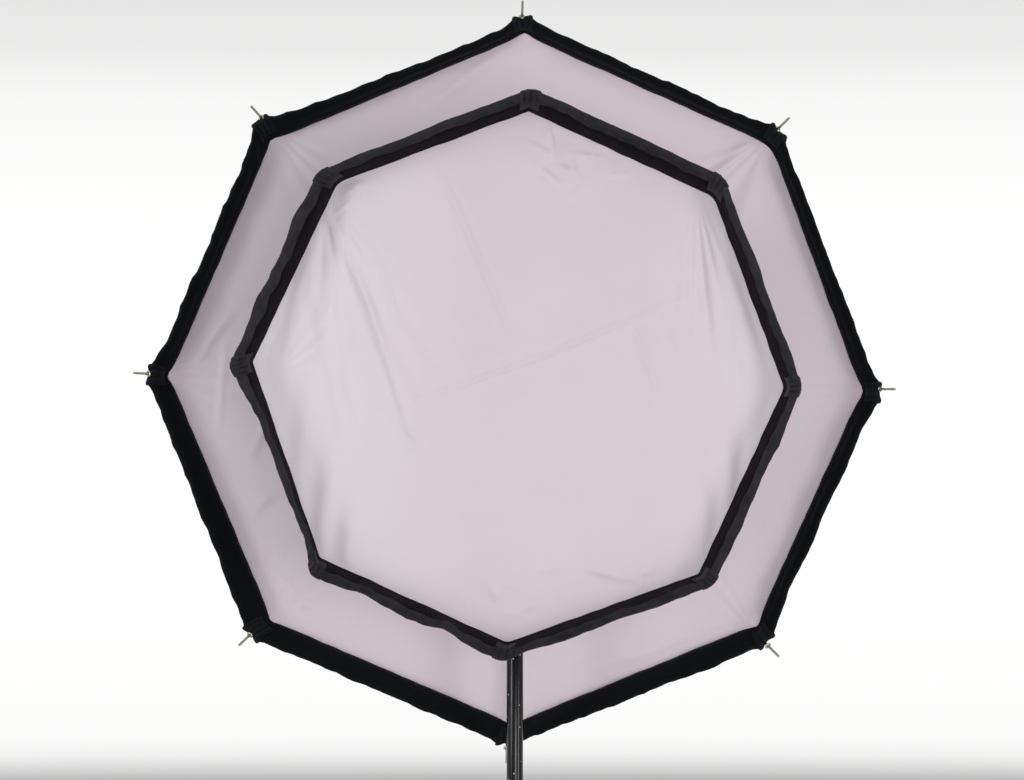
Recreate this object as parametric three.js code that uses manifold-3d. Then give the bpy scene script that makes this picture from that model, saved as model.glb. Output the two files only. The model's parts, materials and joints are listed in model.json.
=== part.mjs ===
// Octagonal studio softbox on a folding light stand.
//
// A small octagonal box with a recessed front diffuser faces forward (-Y). A larger octagonal box stands
// right behind the column, so its white front shows as a ring round the small one. Both turn on one lamp
// head, which tilts in a yoke and pans on the stand's spigot. Units are millimetres, +Z is up, and the
// origin is on the floor under the column.
import * as THREE from "three";
import { mergeVertices } from "three/addons/utils/BufferGeometryUtils.js";
import Module from "manifold-3d";

const wasm = await Module();
wasm.setup();

// ---- Driving dimensions ------------------------------------------------------------------------------

const CORNERS = 8; // corners, rods and fabric panels of each box
const GAP = 0.4; // running and assembly clearance between pieces
const AXIS_HEIGHT = 1400; // height of the boxes' common axis
const REACH = 562; // the front foot and the rear knob both end this far from the column
const FABRIC = 2; // thickness of every sewn sheet
const FINE = 40; // facets round the large turned fits
const ROD_RADIUS = 2.5;
const ROD_OFFSET = 8; // from a shell's wall to the middle of a rod inside it

const NOSE_RADIUS = 49.5; // front end of the lamp head, which the speedring turns on
const head = {
  noseRadius: NOSE_RADIUS,
  radius: NOSE_RADIUS + 4.5,
  nose: -106,
  front: -56,
  rear: 58,
  wall: 4,
};
const spine = { radius: 6, start: -2, end: 540 };

const SPEEDRING_RADIUS = NOSE_RADIUS + 34.5;
const HUB_RADIUS = 58;
const CORNER_REACH = 1 / Math.cos(Math.PI / CORNERS); // from an octagon's flat to its corner
const neckRound = (radius) => (radius + GAP + FABRIC) * CORNER_REACH;

const frontBox = {
  roll: 1.8, // degrees clockwise, seen from the front
  rimRadius: 491, // centre to corner
  rimY: -377,
  crestRadius: 473,
  crestY: -391,
  edgeRadius: 453, // where the lip meets the diffuser
  neckRadius: neckRound(SPEEDRING_RADIUS),
  neckY: -86,
  bow: 170, // how far the rod's bend is set back from the rim
  flare: 0.8, // radial run for each unit of depth at the rim
  diffuserY: -345,
  baffleY: -215,
  ringRadius: SPEEDRING_RADIUS,
  ringDepth: 26,
  rodEnd: -330,
};

const rearBox = {
  roll: 1.2,
  rimRadius: 675,
  rimY: 84,
  neckRadius: neckRound(HUB_RADIUS),
  neckY: 488,
  bow: 290,
  flare: 1,
  diffuserY: 117,
  openingRadius: 90, // round opening in the diffuser, where the spine passes
  lipDepth: 16, // thickness of the padded lip that the rods run through
  rodEnd: 84,
  tip: 42, // bare rod beyond the lip
  hubRadius: HUB_RADIUS,
  hubDepth: 32,
};

const yoke = {
  wall: 7,
  depth: 36,
  clear: 3, // beside the head
  drop: head.radius + 28, // from the tilt axis to the yoke's floor
  socketRadius: 19,
  socketLength: 84,
  ear: 22,
};
const spigot = { radius: 8, height: 78, flange: 6, plug: 36, seat: 3, groove: 44 };

// The leg linkage. The sliding collar carries the legs, the base collar carries the braces.
const legs = {
  count: 3,
  pivotHeight: 400,
  footRadius: REACH - 22,
  footHeight: 12,
  width: 18,
  depth: 11,
  braceAt: 240, // along the leg from its pivot, and the brace's own length between pivots
  tongue: 8,
  rivet: 3,
  braceThickness: 3,
  braceWidth: 12,
  collarWall: 11.5,
  collarHeight: 30,
  pivotReach: 13, // from the collar's outside to the pivots
};

// Stand tubes, the upper one innermost. Each slides inside the next.
const TUBE_WALL = 1.5;
const TUBE_SLIDE = 1;
const upperTube = {
  radius: 12.5,
  wall: TUBE_WALL,
  bottom: 690,
  top: AXIS_HEIGHT - yoke.drop - yoke.socketLength - spigot.seat - spigot.flange,
};
const middleTube = {
  radius: upperTube.radius + TUBE_SLIDE + TUBE_WALL,
  wall: TUBE_WALL,
  bottom: 280,
  top: 975,
};
const LOWER_RADIUS = middleTube.radius + TUBE_SLIDE + TUBE_WALL;
const COLLAR_RADIUS = LOWER_RADIUS + legs.collarWall;
const PIVOT_RADIUS = COLLAR_RADIUS + legs.pivotReach;
const LEG_RUN = legs.footRadius - PIVOT_RADIUS;
const LEG_DROP = legs.pivotHeight - legs.footHeight;
const LEG_LENGTH = Math.hypot(LEG_RUN, LEG_DROP);
const LEG_LEAN = Math.atan2(LEG_RUN, LEG_DROP); // from straight down
const BASE_HEIGHT = legs.pivotHeight - 2 * legs.braceAt * Math.cos(LEG_LEAN);
const lowerTube = {
  radius: LOWER_RADIUS,
  wall: TUBE_WALL,
  bottom: BASE_HEIGHT - 45,
  top: 630,
};
const clamp = { wall: 6.5, below: 30, above: 18 };
const knob = { reach: 32, radius: 14, stem: 4 }; // the reach is beyond what the knob clamps

// ---- Materials ---------------------------------------------------------------------------------------

const finish = (color, roughness, metalness = 0) =>
  new THREE.MeshStandardMaterial({ color, roughness, metalness });
const blackFabric = finish(0x121419, 0.9);
const rimFabric = finish(0x2b2930, 0.75);
const whiteFabric = finish(0xd6cad3, 0.85);
const steel = finish(0xb4b2ac, 0.3, 1);
const blackTube = finish(0x101012, 0.25, 0.6);
const blackPlastic = finish(0x17171a, 0.5);
const darkMetal = finish(0x2a2b2e, 0.4, 0.9);
const rubber = finish(0x0e0e0f, 0.85);
const ledYellow = finish(0xe8c85a, 0.6);
const clearGlass = finish(0xf4f4f0, 0.2);

// ---- Shape helpers -----------------------------------------------------------------------------------

// A three.js geometry as a manifold-3d solid.
function solid(geometry) {
  const bare = (geometry.index ? geometry.toNonIndexed() : geometry.clone());
  bare.deleteAttribute("normal");
  bare.deleteAttribute("uv");
  const merged = mergeVertices(bare, 1e-3);
  return new wasm.Manifold(
    new wasm.Mesh({
      numProp: 3,
      vertProperties: merged.attributes.position.array,
      triVerts: new Uint32Array(merged.index.array),
    }),
  );
}

// A manifold-3d solid as a three.js geometry.
function geometryOf(made) {
  const mesh = made.getMesh();
  const geometry = new THREE.BufferGeometry();
  geometry.setAttribute("position", new THREE.BufferAttribute(mesh.vertProperties, 3));
  geometry.setIndex(new THREE.BufferAttribute(mesh.triVerts, 1));
  const flat = geometry.toNonIndexed();
  flat.computeVertexNormals();
  return flat;
}

function cut(geometry, ...tools) {
  return geometryOf(tools.reduce((left, tool) => left.subtract(solid(tool)), solid(geometry)));
}

function join(geometry, ...others) {
  return geometryOf(others.reduce((left, other) => left.add(solid(other)), solid(geometry)));
}

// [radius, y] points as vectors, in the order that makes a turned surface face outwards.
function facingOut(outline) {
  const points = outline.map(([r, y]) => new THREE.Vector2(r, y));
  return THREE.ShapeUtils.isClockWise(points) ? points.reverse() : points;
}

// A closed outline of [radius, y] points turned round the Y axis.
function turned(outline, segments) {
  const points = facingOut(outline);
  return new THREE.LatheGeometry([...points, points[0]], segments);
}

// A solid of revolution along Y whose outline starts and ends on the axis.
function turnedSolid(outline, segments) {
  return new THREE.LatheGeometry(facingOut(outline), segments);
}

// A pipe or ring along Y.
function pipe(outer, inner, from, to, segments = 24) {
  return turned([[inner, from], [outer, from], [outer, to], [inner, to]], segments);
}

function rodAlongY(radius, from, to, segments = 16) {
  return new THREE.CylinderGeometry(radius, radius, to - from, segments).translate(0, (from + to) / 2, 0);
}

const upright = (geometry) => geometry.rotateX(Math.PI / 2);
const sideways = (geometry) => geometry.rotateZ(-Math.PI / 2); // Y to +X

// A round bar of equal section along a path.
function barAlong(path, radius, steps) {
  const section = new THREE.Shape().absarc(0, 0, radius, 0, Math.PI * 2);
  return new THREE.ExtrudeGeometry(section, {
    steps, curveSegments: 4, bevelEnabled: false, extrudePath: path,
  });
}

function block(width, depth, height, x, y, z) {
  return new THREE.BoxGeometry(width, depth, height).translate(x, y, z);
}

function place(parent, name, geometry, material) {
  const mesh = new THREE.Mesh(geometry, material);
  mesh.name = name;
  parent.add(mesh);
  return mesh;
}

// ---- Octagonal box -----------------------------------------------------------------------------------

// The wall's line, from the neck to the rim, as a curve of (radius, y).
function wallCurve(box) {
  const back = Math.sign(box.neckY - box.rimY);
  return new THREE.QuadraticBezierCurve(
    new THREE.Vector2(box.neckRadius, box.neckY),
    new THREE.Vector2(box.rimRadius - box.bow * box.flare, box.rimY + back * box.bow),
    new THREE.Vector2(box.rimRadius, box.rimY),
  );
}

// Points along the wall, moved inwards (towards the axis and the front) by an offset.
function wallPoints(box, offset, from, to, count) {
  const curve = wallCurve(box);
  const points = [];
  for (let i = 0; i <= count; i++) {
    const t = from + ((to - from) * i) / count;
    const at = curve.getPoint(t);
    const along = curve.getTangent(t);
    points.push([at.x + along.y * offset, at.y - along.x * offset]);
  }
  return points;
}

// A sewn wall between two places on the wall's line.
function sewnWall(box, from, to, count) {
  const outside = wallPoints(box, 0, from, to, count);
  const inside = wallPoints(box, FABRIC, from, to, count).reverse();
  return turned([...outside, ...inside], CORNERS);
}

// Where the wall's line reaches a depth.
function whereDepth(box, y) {
  const curve = wallCurve(box);
  let low = 0;
  let high = 1;
  for (let i = 0; i < 40; i++) {
    const middle = (low + high) / 2;
    if ((curve.getPoint(middle).y - y) * Math.sign(box.neckY - box.rimY) > 0) low = middle;
    else high = middle;
  }
  return low;
}

// How far a sheet across the box can reach at a depth: to the wall's inside, less the clearance.
function sheetRadius(box, y) {
  const t = whereDepth(box, y + FABRIC);
  const slope = Math.abs(wallCurve(box).getTangent(t).y);
  return wallCurve(box).getPoint(t).x - (FABRIC + GAP) / slope;
}

// A flat octagonal sheet across the box.
function sheetAcross(box, y) {
  const edge = sheetRadius(box, y);
  return turnedSolid([[0, y], [edge, y], [edge, y + FABRIC], [0, y + FABRIC]], CORNERS);
}

// The line of one rod: from its socket, flexed along the inside of a corner, then straight for its bare tip.
function rodPath(box, corner, root, tip) {
  const angle = (corner / CORNERS) * Math.PI * 2;
  const flexed = wallPoints(box, ROD_OFFSET, 0.06, whereDepth(box, box.rodEnd), 9);
  const [last, before] = [flexed[9], flexed[8]];
  const run = Math.hypot(last[0] - before[0], last[1] - before[1]);
  const points = [root, ...flexed];
  if (tip > 0) points.push(last.map((v, i) => v + ((v - before[i]) / run) * tip));
  const placed = points.map(([r, y]) => new THREE.Vector3(r * Math.sin(angle), y, r * Math.cos(angle)));
  return new THREE.CatmullRomCurve3(placed, false, "centripetal");
}

function rods(box, root, tip, radius = ROD_RADIUS) {
  return Array.from({ length: CORNERS }, (_, i) => barAlong(rodPath(box, i, root, tip), radius, 12));
}

function addRods(group, name, box, root, tip) {
  rods(box, root, tip).forEach((rod, i) => place(group, `${name}_rod_${i + 1}`, rod, steel));
}

// ---- Front box ---------------------------------------------------------------------------------------

function makeFrontBox() {
  const group = new THREE.Group();
  group.rotation.y = THREE.MathUtils.degToRad(frontBox.roll);
  const box = frontBox;
  place(group, "front_shell", sewnWall(box, 0, whereDepth(box, box.diffuserY + FABRIC), 8), blackFabric);

  // The lip flares from the diffuser's edge to a crest, and its hem rolls back over the rim.
  const lip = turned([
    [box.edgeRadius, box.diffuserY - GAP],
    [wallCurve(box).getPoint(whereDepth(box, box.diffuserY)).x, box.diffuserY - GAP],
    [box.rimRadius, box.rimY],
    [box.crestRadius, box.crestY],
  ], CORNERS);
  place(group, "front_lip", lip, rimFabric);

  const root = [box.ringRadius - 22, box.neckY];
  const rodSpace = rods(box, root, 0, ROD_RADIUS + GAP);
  addRods(group, "front", box, root, 0);
  place(group, "front_diffuser", sheetAcross(box, box.diffuserY), whiteFabric);
  place(group, "front_baffle", cut(sheetAcross(box, box.baffleY), ...rodSpace), whiteFabric);

  const [ringFront, ringBack] = [box.neckY - 16, box.neckY - 16 + box.ringDepth];
  const ring = turned([
    [head.noseRadius + GAP, ringFront], [box.ringRadius - 2, ringFront],
    [box.ringRadius, ringFront + 2], [box.ringRadius, ringBack], [head.noseRadius + GAP, ringBack],
  ], FINE);
  place(group, "speedring", cut(ring, ...rodSpace), darkMetal);
  return group;
}

// ---- Rear box ----------------------------------------------------------------------------------------

function makeRearBox() {
  const group = new THREE.Group();
  group.rotation.y = THREE.MathUtils.degToRad(rearBox.roll);
  const box = rearBox;
  const [hubFront, hubBack] = [box.neckY - 14, box.neckY - 14 + box.hubDepth];
  const root = [box.hubRadius - 24, box.neckY + 4];
  const rodSpace = rods(box, root, box.tip, ROD_RADIUS + GAP);
  addRods(group, "rear", box, root, box.tip);
  place(group, "rear_shell", sewnWall(box, 0, whereDepth(box, box.diffuserY + FABRIC), 10), blackFabric);

  const seam = whereDepth(box, box.diffuserY - GAP);
  const outside = wallPoints(box, 0, seam, 1, 2);
  const inside = wallPoints(box, box.lipDepth, seam, 1, 2).reverse();
  place(group, "rear_lip", cut(turned([...outside, ...inside], CORNERS), ...rodSpace), blackFabric);

  const opening = rodAlongY(box.openingRadius, box.diffuserY - 5, box.diffuserY + 5, 24);
  place(group, "rear_diffuser", cut(sheetAcross(box, box.diffuserY), opening, ...rodSpace), whiteFabric);

  const hub = turned([
    [spine.radius + GAP, hubFront], [box.hubRadius - 2, hubFront], [box.hubRadius, hubFront + 2],
    [box.hubRadius, hubBack - 4], [box.hubRadius - 4, hubBack], [spine.radius + GAP, hubBack],
  ], 24);
  place(group, "rear_hub", cut(hub, ...rodSpace), darkMetal);

  const knobFront = hubBack + GAP;
  const grip = turnedSolid([
    [0, spine.end + GAP * 2], [spine.radius + GAP, spine.end + GAP * 2], [spine.radius + GAP, knobFront],
    [14, knobFront], [14, knobFront + 10], [24, knobFront + 16], [24, REACH - 8], [18, REACH], [0, REACH],
  ], 16);
  place(group, "tension_knob", grip, blackPlastic);
  return group;
}

// ---- Lamp head ---------------------------------------------------------------------------------------

function makeHead() {
  const group = new THREE.Group();
  const { radius, front, rear, wall, nose, noseRadius } = head;
  const inner = noseRadius - wall;
  const body = turned([
    [inner, nose], [noseRadius, nose], [noseRadius, front - 2], [radius, front],
    [radius, rear - 8], [radius - 8, rear], [inner, rear],
  ], FINE);
  const bulkhead = turnedSolid([[0, -6], [inner + 1, -6], [inner + 1, 8], [0, 8]], FINE);
  const pivotHoles = [-1, 1].map((side) => {
    const hole = sideways(rodAlongY(4 + GAP, radius - 9, radius + 5, 12));
    return side > 0 ? hole : hole.rotateZ(Math.PI);
  });
  const spineHole = rodAlongY(spine.radius + GAP, spine.start - 1, 20, 12);
  place(group, "head_housing", cut(join(body, bulkhead), ...pivotHoles, spineHole), blackPlastic);

  place(group, "spine_tube", rodAlongY(spine.radius, spine.start, spine.end, 12), steel);
  place(group, "front_led", turnedSolid([
    [0, nose + 12], [32, nose + 12], [inner - GAP, nose + 20], [inner - GAP, nose + 26], [0, nose + 26],
  ], 24), ledYellow);
  const dome = [];
  for (let i = 0; i <= 6; i++) {
    const a = (i / 6) * (Math.PI / 2);
    dome.push([(inner - GAP) * Math.sin(a), nose + 8 - 34 * Math.cos(a)]);
  }
  const shellOfDome = [...dome, ...dome.map(([r, y]) => [r * 0.93, y + 2.4]).reverse()];
  place(group, "front_glass", turnedSolid(shellOfDome, 24), clearGlass);
  place(group, "rear_led", pipe(inner - GAP, 12, rear - 22, rear - 16), ledYellow);
  place(group, "rear_glass", pipe(inner - GAP, 12, rear - 8, rear - 4), clearGlass);

  // The control box sits on top of the housing; its underside is hollowed to the housing's curve.
  const top = radius + 22;
  const box = block(62, 84, top - radius + 20, 0, -2, (top + radius - 20) / 2);
  const housingSpace = rodAlongY(radius + GAP, -80, 80, 48);
  const dialHole = upright(rodAlongY(5, 0, 12, 12)).translate(0, -24, top - 6);
  const rockerHole = block(14, 21, 16, 0, 12, top);
  const inletHole = block(28, 12, 18, 0, 42, top - 12);
  place(group, "control_box", cut(box, housingSpace, dialHole, rockerHole, inletHole), blackPlastic);
  const dial = turnedSolid([[0, -5], [4.6, -5], [4.6, 1], [13, 1], [12, 13], [0, 13]], 20);
  place(group, "dimmer_dial", upright(dial), darkMetal).position.set(0, -24, top);
  const rockerMesh = place(group, "power_rocker", rocker(13, 20, 9), rubber);
  rockerMesh.position.set(0, 12, top);
  rockerMesh.rotation.x = THREE.MathUtils.degToRad(8); // off
  const inlet = cut(block(27, 8, 17, 0, 0, 0), block(23, 8, 13, 0, 3, 0));
  place(group, "mains_inlet", inlet, blackPlastic).position.set(0, 41, top - 12);
  return group;
}

// A rocker cap that pivots on X at its own origin: two faces that meet in a shallow valley.
function rocker(width, length, height) {
  const half = length / 2;
  const side = new THREE.Shape([
    new THREE.Vector2(-half + 1, -height / 2), new THREE.Vector2(half - 1, -height / 2),
    new THREE.Vector2(half - 0.5, 3), new THREE.Vector2(0, 1), new THREE.Vector2(-half + 0.5, 3),
  ]);
  const made = new THREE.ExtrudeGeometry(side, { depth: width, bevelEnabled: false });
  return made.translate(0, 0, -width / 2).rotateX(Math.PI / 2).rotateZ(Math.PI / 2);
}

// ---- Yoke --------------------------------------------------------------------------------------------

function makeYoke() {
  const group = new THREE.Group();
  const inside = head.radius + yoke.clear;
  const outside = inside + yoke.wall;
  const floor = -yoke.drop;
  const corner = 14;
  const outline = new THREE.Shape();
  outline.moveTo(-outside, yoke.ear);
  outline.lineTo(-outside, floor - yoke.wall + corner);
  outline.absarc(-outside + corner, floor - yoke.wall + corner, corner, Math.PI, Math.PI * 1.5);
  outline.lineTo(outside - corner, floor - yoke.wall);
  outline.absarc(outside - corner, floor - yoke.wall + corner, corner, Math.PI * 1.5, Math.PI * 2);
  outline.lineTo(outside, yoke.ear);
  outline.lineTo(inside, yoke.ear);
  outline.lineTo(inside, floor);
  outline.lineTo(-inside, floor);
  outline.lineTo(-inside, yoke.ear);
  const strap = new THREE.ExtrudeGeometry(outline, { depth: yoke.depth, bevelEnabled: false, curveSegments: 5 })
    .translate(0, 0, -yoke.depth / 2).rotateX(Math.PI / 2);
  const socketBottom = floor - yoke.socketLength;
  const socket = upright(rodAlongY(yoke.socketRadius, socketBottom, floor - 1, 24));
  const bore = upright(rodAlongY(spigot.radius + GAP, socketBottom - 1, floor - yoke.wall - 4, 16));
  const pivots = sideways(rodAlongY(4 + GAP, -outside - 5, outside + 5, 12));
  const knobHeight = upperTube.top + spigot.groove - AXIS_HEIGHT;
  const knobHole = sideways(rodAlongY(knob.stem + GAP, -yoke.socketRadius - 2, 0, 12))
    .translate(0, 0, knobHeight);
  place(group, "tilt_yoke", cut(join(strap, socket), bore, pivots, knobHole), darkMetal);

  const screw = clampKnob(spigot.radius + GAP * 2, yoke.socketRadius);
  place(group, "socket_knob", screw.rotateZ(Math.PI), blackPlastic).position.set(0, 0, knobHeight);

  const bolt = turnedSolid([
    [0, head.radius - 8], [4, head.radius - 8], [4, outside + GAP], [9, outside + GAP],
    [9, outside + 6], [0, outside + 6],
  ], 12);
  place(group, "pivot_bolt", bolt.rotateZ(Math.PI / 2), steel);
  const stud = sideways(turnedSolid([
    [0, head.radius - 8], [4, head.radius - 8], [4, outside + GAP], [15, outside + GAP],
    [15, outside + 14], [0, outside + 14],
  ], 16));
  const arm = block(9, 12, 74, outside + 9, 0, -37);
  const tip = sideways(rodAlongY(9, outside + 4, outside + 16, 12)).translate(0, 0, -74);
  place(group, "tilt_lever", join(stud, arm, tip), blackPlastic);
  return group;
}

// A clamp knob on the +X side: a stem from the tube's wall, and a lobed grip outside what it clamps.
function clampKnob(stemStart, clampedRadius) {
  const [gripStart, gripEnd] = [clampedRadius + 8, clampedRadius + knob.reach];
  const lobes = 6;
  const outline = new THREE.Shape();
  for (let i = 0; i <= lobes * 4; i++) {
    const angle = (i / (lobes * 4)) * Math.PI * 2;
    const radius = knob.radius - 1.6 * (1 - Math.cos(angle * lobes)) / 2;
    if (i === 0) outline.moveTo(radius, 0);
    else outline.lineTo(radius * Math.cos(angle), radius * Math.sin(angle));
  }
  const grip = new THREE.ExtrudeGeometry(outline, { depth: gripEnd - gripStart, bevelEnabled: false })
    .rotateY(Math.PI / 2).translate(gripStart, 0, 0);
  return join(grip, sideways(rodAlongY(knob.stem, stemStart, gripStart + 1, 12)));
}

// ---- Stand -------------------------------------------------------------------------------------------

const tubeGeometry = (tube) => upright(pipe(tube.radius, tube.radius - tube.wall, tube.bottom, tube.top));

// A clamp collar fixed on the outer tube's mouth, through which the inner tube slides.
function clampCollar(outer, inner) {
  const radius = outer.radius + clamp.wall;
  const seat = outer.top + GAP;
  const screwHeight = outer.top + clamp.above / 2;
  const body = upright(turned([
    [outer.radius + GAP, outer.top - clamp.below], [radius, outer.top - clamp.below],
    [radius, outer.top + clamp.above], [inner.radius + GAP, outer.top + clamp.above],
    [inner.radius + GAP, seat], [outer.radius + GAP, seat],
  ], 24));
  const boss = sideways(rodAlongY(9, inner.radius + 4, radius + 6, 12)).translate(0, 0, screwHeight);
  const screwHole = sideways(rodAlongY(knob.stem + GAP, 0, radius + 8, 12)).translate(0, 0, screwHeight);
  const tubeSpace = upright(rodAlongY(outer.radius + GAP, outer.top - clamp.below - 5, seat, 24));
  return cut(join(body, boss), screwHole, tubeSpace);
}

function addClamp(group, name, outer, inner) {
  place(group, `${name}_clamp`, clampCollar(outer, inner), blackPlastic);
  const screw = clampKnob(inner.radius + GAP * 2, outer.radius + clamp.wall);
  place(group, `${name}_clamp_knob`, screw, blackPlastic).position.set(0, 0, outer.top + clamp.above / 2);
}

function makeStand() {
  const group = new THREE.Group();
  place(group, "lower_column", tubeGeometry(lowerTube), blackTube);
  place(group, "middle_column", tubeGeometry(middleTube), blackTube);
  place(group, "upper_column", tubeGeometry(upperTube), blackTube);
  addClamp(group, "lower", lowerTube, middleTube);
  addClamp(group, "upper", middleTube, upperTube);

  const bore = upperTube.radius - upperTube.wall - GAP;
  const top = upperTube.top;
  const groove = top + spigot.groove;
  const stud = upright(turnedSolid([
    [0, top - spigot.plug], [bore, top - spigot.plug], [bore, top + GAP], [upperTube.radius, top + GAP],
    [upperTube.radius, top + spigot.flange], [spigot.radius, top + spigot.flange],
    [spigot.radius, groove - 10], [spigot.radius - 2, groove - 6], [spigot.radius - 2, groove + 6],
    [spigot.radius, groove + 10], [spigot.radius, top + spigot.height - 2], [0, top + spigot.height - 2],
  ], 20));
  place(group, "spigot", stud, steel);
  addLegs(group);
  return group;
}

// A collar on the lower tube with one lug for each leg.
function legCollar(height, lugWidth, rivetRadius) {
  const half = legs.collarHeight / 2;
  const ring = upright(pipe(COLLAR_RADIUS, lowerTube.radius + GAP, height - half, height + half));
  const reach = PIVOT_RADIUS + 8 - (COLLAR_RADIUS - 4);
  const lugs = [];
  const holes = [];
  for (let i = 0; i < legs.count; i++) {
    const angle = legAngle(i);
    lugs.push(block(reach, lugWidth, 16, PIVOT_RADIUS + 8 - reach / 2, 0, height).rotateZ(angle));
    holes.push(new THREE.CylinderGeometry(rivetRadius, rivetRadius, 60, 12)
      .translate(PIVOT_RADIUS, 0, height).rotateZ(angle));
  }
  return cut(join(ring, ...lugs), ...holes);
}

const legAngle = (i) => -Math.PI / 2 + (i / legs.count) * Math.PI * 2;

function addLegs(group) {
  const [length, lean] = [LEG_LENGTH, LEG_LEAN];
  const rivetHole = legs.rivet + GAP;

  const sliding = legCollar(legs.pivotHeight, legs.tongue, rivetHole);
  const between = legAngle(0.5);
  const screwHole = sideways(rodAlongY(knob.stem + GAP, 0, 60, 12)).rotateZ(between)
    .translate(0, 0, legs.pivotHeight);
  place(group, "leg_collar", cut(sliding, screwHole), blackPlastic);
  const screw = clampKnob(lowerTube.radius + GAP * 2, COLLAR_RADIUS).rotateZ(between);
  place(group, "leg_collar_knob", screw, blackPlastic).position.set(0, 0, legs.pivotHeight);
  place(group, "base_collar", legCollar(BASE_HEIGHT, legs.width - 2, rivetHole), blackPlastic);

  // One leg in its own frame: the pivot at the origin, the leg straight down.
  const bar = block(legs.depth, legs.width, length + 12, 0, 0, -(length - 12) / 2);
  const slot = block(60, legs.tongue + 2 * GAP, 36, 0, 0, 0);
  const rivet = new THREE.CylinderGeometry(legs.rivet, legs.rivet, legs.width + 4, 12);
  const leg = join(cut(bar, slot), rivet);

  // One brace in the frame of its lower pivot, straight up: two strips joined by the rivet.
  const sideOffset = legs.width / 2 + GAP + legs.braceThickness / 2;
  const strip = (side) => block(legs.braceWidth, legs.braceThickness, legs.braceAt + 14, 0,
    side * sideOffset, legs.braceAt / 2);
  const rivetEnd = (side) => new THREE.CylinderGeometry(4.5, 4.5, 2, 12)
    .translate(0, side * (sideOffset + legs.braceThickness / 2 + 0.5), legs.braceAt);
  const lowerRivet = new THREE.CylinderGeometry(legs.rivet, legs.rivet, 2 * sideOffset + 7, 12);
  const brace = join(strip(1), strip(-1), lowerRivet, rivetEnd(1), rivetEnd(-1));

  const sole = new THREE.Shape([
    new THREE.Vector2(-26, 0), new THREE.Vector2(20, 0), new THREE.Vector2(22, 8),
    new THREE.Vector2(10, 26), new THREE.Vector2(-14, 34), new THREE.Vector2(-28, 14),
  ]);
  const soleBlock = new THREE.ExtrudeGeometry(sole, { depth: 26, bevelEnabled: false })
    .translate(0, 0, -13).rotateX(Math.PI / 2).translate(legs.footRadius, 0, 0);
  const legSpace = block(legs.depth + 2 * GAP, legs.width + 2 * GAP, length + 12 + 2 * GAP,
    0, 0, -(length - 12) / 2 ).rotateY(-lean).translate(PIVOT_RADIUS, 0, legs.pivotHeight);
  const foot = cut(soleBlock, legSpace);

  for (let i = 0; i < legs.count; i++) {
    const side = new THREE.Group();
    side.rotation.z = legAngle(i);
    const legMesh = place(side, `leg_${i + 1}`, leg, blackTube);
    legMesh.position.set(PIVOT_RADIUS, 0, legs.pivotHeight);
    legMesh.rotation.y = -lean;
    const braceMesh = place(side, `brace_${i + 1}`, brace, blackTube);
    braceMesh.position.set(PIVOT_RADIUS, 0, BASE_HEIGHT);
    braceMesh.rotation.y = lean;
    place(side, `foot_${i + 1}`, foot, rubber);
    group.add(side);
  }
}

// ---- Assembly ----------------------------------------------------------------------------------------

const softbox = new THREE.Group();
const onAxis = new THREE.Group();
onAxis.position.z = AXIS_HEIGHT;
onAxis.add(makeFrontBox(), makeRearBox(), makeHead(), makeYoke());
softbox.add(onAxis, makeStand());

export default softbox;
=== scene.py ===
"""Looks of the octagonal studio softbox: sewn fabrics, finishes, floor, lights and camera."""

import json
import math

import bmesh
import bpy
import numpy as np
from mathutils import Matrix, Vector


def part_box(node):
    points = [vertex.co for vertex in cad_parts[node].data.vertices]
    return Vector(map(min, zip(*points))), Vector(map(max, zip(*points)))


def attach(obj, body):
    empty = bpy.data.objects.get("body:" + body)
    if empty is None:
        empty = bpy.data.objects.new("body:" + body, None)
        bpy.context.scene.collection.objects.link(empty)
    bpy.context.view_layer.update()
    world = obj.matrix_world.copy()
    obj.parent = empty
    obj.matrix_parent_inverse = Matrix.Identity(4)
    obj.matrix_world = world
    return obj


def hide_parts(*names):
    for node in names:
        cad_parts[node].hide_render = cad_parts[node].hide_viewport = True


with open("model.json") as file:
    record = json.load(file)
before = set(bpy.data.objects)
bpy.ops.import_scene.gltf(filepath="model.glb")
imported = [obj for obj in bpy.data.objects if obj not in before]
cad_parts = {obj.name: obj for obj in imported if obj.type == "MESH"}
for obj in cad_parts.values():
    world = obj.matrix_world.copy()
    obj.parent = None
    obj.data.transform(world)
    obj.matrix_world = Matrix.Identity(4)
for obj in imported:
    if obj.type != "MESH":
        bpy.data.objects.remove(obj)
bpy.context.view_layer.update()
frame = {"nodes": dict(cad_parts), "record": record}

MM = 0.001
AXIS_Z = 1.4  # the boxes' common axis above the floor, in metres, as are all sizes here without MM
CORNERS = 8
TURN = 2 * math.pi / CORNERS
CLOTH = 0.8 * MM  # thickness of the diffusers' cloth


# ---- Camera ------------------------------------------------------------------------------------------

def make_camera():
    data = bpy.data.cameras.new("camera")
    data.lens = 135.1
    data.sensor_width = 36
    data.sensor_fit = "HORIZONTAL"
    camera = bpy.data.objects.new("camera", data)
    bpy.context.scene.collection.objects.link(camera)
    place = Vector((-0.055, -7.0, 1.215))
    aim = Vector((-0.0046, 0.07, 1.384))
    camera.location = place
    camera.rotation_euler = (aim - place).to_track_quat("-Z", "Y").to_euler()
    bpy.context.scene.camera = camera


make_camera()


# ---- Sizes, as in the CAD ----------------------------------------------------------------------------

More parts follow.
